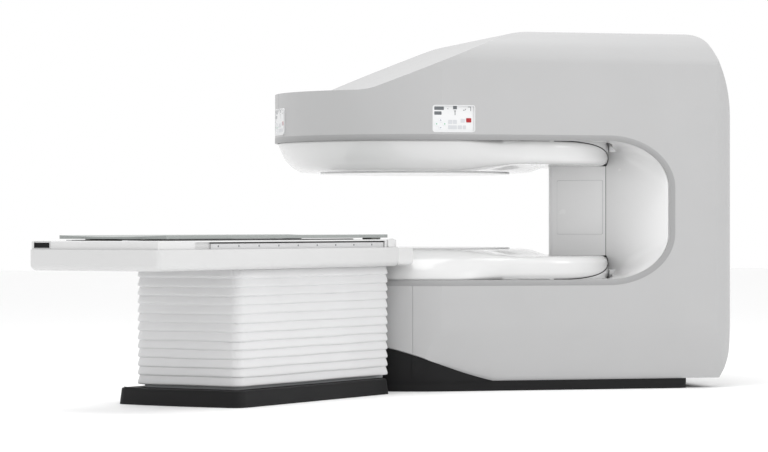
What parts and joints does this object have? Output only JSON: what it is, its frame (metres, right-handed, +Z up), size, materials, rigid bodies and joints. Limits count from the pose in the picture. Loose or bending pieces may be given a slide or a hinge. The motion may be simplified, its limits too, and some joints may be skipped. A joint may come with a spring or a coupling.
{
  "type": "mri scanner",
  "caption": "Open C-shaped permanent-magnet scanner with a patient gap between two round poles on one pillar, and a docked table that lifts and slides the patient in.",
  "frame": {"origin": "on the floor, on the vertical axis through the centres of the two magnet poles", "axes": "+Z up, +X from the pole axis to the pillar, the table comes in along the diagonal between -X and -Y"},
  "size_m": [3.7868, 3.0008, 1.812],
  "materials": {
    "side_cover": "satin light grey",
    "white_cover": "gloss white",
    "pole_plate_white": "satin white",
    "black_plastic": "matt black",
    "iron": "as cast",
    "magnet": "nickel plated",
    "resin": "cast resin",
    "copper": "etched sheet",
    "bellows_fabric": "white coated cloth",
    "frame_paint": "grey paint",
    "steel": "brushed",
    "nylon": "natural nylon",
    "rail_white": "white coated",
    "board": "grey green laminate",
    "panel_light": "satin pale grey",
    "display": "gloss dark",
    "key_red": "satin red",
    "key_grey": "satin grey",
    "key_green": "satin green"
  },
  "bodies": {
    "gantry": {"bellows": "bellows_fabric", "bellows_foot_frame": "frame_paint", "dock_block": "white_cover", "dock_front_cover": "side_cover", "far_liner": "white_cover", "far_side_cover": "side_cover", "front_corner_cover": "side_cover", "front_panel_displays": "display", "front_panel_fascia": "panel_light", "front_panel_frame": "panel_light", "iron_column": "iron", "lift_outer_tubes": "steel", "lower_gradient_coil": "resin", "lower_iron_yoke": "iron", "lower_magnet_disc": "magnet", "lower_pole_cover": "white_cover", "lower_pole_piece": "iron", "lower_pole_plate": "pole_plate_white", "lower_transmit_coil": "copper", "near_liner": "white_cover", "near_panel_displays": "display", "near_panel_fascia": "panel_light", "near_panel_frame": "panel_light", "near_side_cover": "side_cover", "pillar_nose_panel": "white_cover", "plinth": "black_plastic", "skirt": "black_plastic", "skirt_flaps": "black_plastic", "table_base": "black_plastic", "upper_gradient_coil": "resin", "upper_iron_yoke": "iron", "upper_magnet_disc": "magnet", "upper_pole_cover": "white_cover", "upper_pole_piece": "iron", "upper_pole_plate": "pole_plate_white", "upper_transmit_coil": "copper"},
    "lift_stage": {"lift_middle_tubes": "steel"},
    "table_top_assembly": {"lift_head_frame": "frame_paint", "lift_inner_tubes": "steel", "table_shell": "white_cover", "deck_frame": "frame_paint", "upper_deck": "white_cover", "accessory_rails": "rail_white", "rail_screws": "steel", "rail_end_caps": "white_cover", "deck_guide_rails": "steel", "deck_glide_pads": "nylon", "slide_drive": "steel"},
    "patient_board": {"tabletop": "board", "tabletop_runners": "nylon"},
    "near_stop_key_body": {"near_stop_key": "key_red"},
    "near_up_key_body": {"near_up_key": "key_grey"},
    "near_down_key_body": {"near_down_key": "key_grey"},
    "near_left_key_body": {"near_left_key": "key_green"},
    "near_right_key_body": {"near_right_key": "key_green"},
    "front_stop_key_body": {"front_stop_key": "key_red"},
    "front_up_key_body": {"front_up_key": "key_grey"},
    "front_down_key_body": {"front_down_key": "key_grey"},
    "front_left_key_body": {"front_left_key": "key_green"},
    "front_right_key_body": {"front_right_key": "key_green"}
  },
  "joints": [
    {"name": "table_lift", "type": "slide", "parent": "gantry", "child": "table_top_assembly", "axis": [0, 0, 1], "range_m": [-0.25, 0], "deforming": ["bellows"]},
    {"name": "lift_stage_slide", "type": "slide", "parent": "gantry", "child": "lift_stage", "axis": [0, 0, 1], "range_m": [-0.125, 0]},
    {"name": "board_slide", "type": "slide", "parent": "table_top_assembly", "child": "patient_board", "axis": [0.7071, 0.7071, 0], "range_m": [0, 1.15]},
    {"name": "near_stop_key_press", "type": "slide", "parent": "gantry", "child": "near_stop_key_body", "axis": [0, 1, 0], "range_m": [0, 0.0012], "stiffness_N_per_m": 400, "springref_m": -0.0005},
    {"name": "near_up_key_press", "type": "slide", "parent": "gantry", "child": "near_up_key_body", "axis": [0, 1, 0], "range_m": [0, 0.0012], "stiffness_N_per_m": 400, "springref_m": -0.0005},
    {"name": "near_down_key_press", "type": "slide", "parent": "gantry", "child": "near_down_key_body", "axis": [0, 1, 0], "range_m": [0, 0.0012], "stiffness_N_per_m": 400, "springref_m": -0.0005},
    {"name": "near_left_key_press", "type": "slide", "parent": "gantry", "child": "near_left_key_body", "axis": [0, 1, 0], "range_m": [0, 0.0012], "stiffness_N_per_m": 400, "springref_m": -0.0005},
    {"name": "near_right_key_press", "type": "slide", "parent": "gantry", "child": "near_right_key_body", "axis": [0, 1, 0], "range_m": [0, 0.0012], "stiffness_N_per_m": 400, "springref_m": -0.0005},
    {"name": "front_stop_key_press", "type": "slide", "parent": "gantry", "child": "front_stop_key_body", "axis": [1, 0, 0], "range_m": [0, 0.0012], "stiffness_N_per_m": 400, "springref_m": -0.0005},
    {"name": "front_up_key_press", "type": "slide", "parent": "gantry", "child": "front_up_key_body", "axis": [1, 0, 0], "range_m": [0, 0.0012], "stiffness_N_per_m": 400, "springref_m": -0.0005},
    {"name": "front_down_key_press", "type": "slide", "parent": "gantry", "child": "front_down_key_body", "axis": [1, 0, 0], "range_m": [0, 0.0012], "stiffness_N_per_m": 400, "springref_m": -0.0005},
    {"name": "front_left_key_press", "type": "slide", "parent": "gantry", "child": "front_left_key_body", "axis": [1, 0, 0], "range_m": [0, 0.0012], "stiffness_N_per_m": 400, "springref_m": -0.0005},
    {"name": "front_right_key_press", "type": "slide", "parent": "gantry", "child": "front_right_key_body", "axis": [1, 0, 0], "range_m": [0, 0.0012], "stiffness_N_per_m": 400, "springref_m": -0.0005}
  ],
  "couplings": [
    {"joint": "lift_stage_slide", "follows": "table_lift", "ratio": 0.5}
  ]
}
